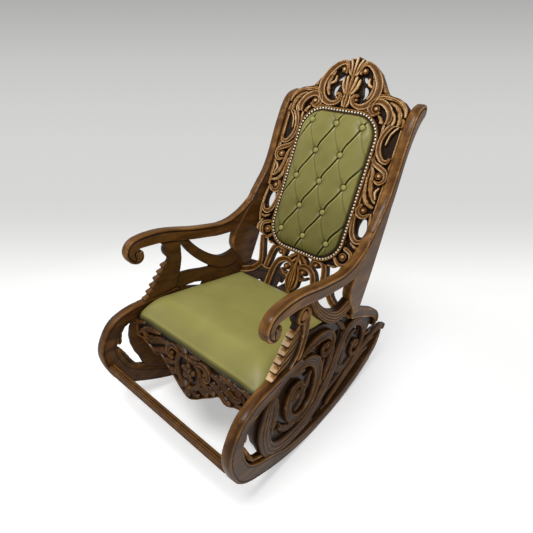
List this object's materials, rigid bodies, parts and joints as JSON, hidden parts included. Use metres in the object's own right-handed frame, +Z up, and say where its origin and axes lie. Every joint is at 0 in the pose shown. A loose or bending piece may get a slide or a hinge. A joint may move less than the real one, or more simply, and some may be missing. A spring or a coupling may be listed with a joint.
{
  "type": "rocking chair",
  "caption": "carved walnut rocking chair with pierced scroll sides on curved runners, a boxed olive leather seat and a tall deep-buttoned leather back under a carved crest",
  "frame": {"origin": "on the floor plane that both runners rest on, under the middle of the chair's bounding box", "axes": "+Z up; the front of the chair faces -Y; +X is the sitter's left"},
  "size_m": [0.5806, 0.9862, 1.1573],
  "materials": {
    "carved_walnut": "dark walnut, semi-gloss varnish, rubbed golden brown on the high points",
    "frame_wood": "plain hidden hardwood, matt",
    "olive_leather": "smooth olive green leather, soft sheen",
    "nail_heads": "small pale domed nail heads, worn and silvery"
  },
  "bodies": {
    "root": {"left_arm": "carved_walnut", "right_arm": "carved_walnut", "left_back_post": "carved_walnut", "right_back_post": "carved_walnut", "left_front_post": "carved_walnut", "right_front_post": "carved_walnut", "left_front_loop": "carved_walnut", "right_front_loop": "carved_walnut", "left_runner": "carved_walnut", "right_runner": "carved_walnut", "left_rear_rail": "carved_walnut", "right_rear_rail": "carved_walnut", "left_arm_brace": "carved_walnut", "right_arm_brace": "carved_walnut", "left_side_panel": "carved_walnut", "right_side_panel": "carved_walnut", "left_ring_scroll": "carved_walnut", "right_ring_scroll": "carved_walnut", "left_inner_scroll": "carved_walnut", "right_inner_scroll": "carved_walnut", "left_middle_scroll": "carved_walnut", "right_middle_scroll": "carved_walnut", "left_lower_rib": "carved_walnut", "right_lower_rib": "carved_walnut", "left_seat_rail": "frame_wood", "right_seat_rail": "frame_wood", "front_apron": "carved_walnut", "apron_carving": "carved_walnut", "rear_seat_rail": "frame_wood", "corner_blocks": "frame_wood", "seat_board": "frame_wood", "seat_cushion": "olive_leather", "front_stretcher": "carved_walnut", "back_frame": "carved_walnut", "left_back_carving": "carved_walnut", "right_back_carving": "carved_walnut", "crest": "carved_walnut", "left_splat_scrolls": "carved_walnut", "right_splat_scrolls": "carved_walnut", "splat_leaf": "carved_walnut", "back_board": "frame_wood", "back_pad": "olive_leather", "back_buttons": "olive_leather", "back_nails": "nail_heads"}
  },
  "joints": []
}
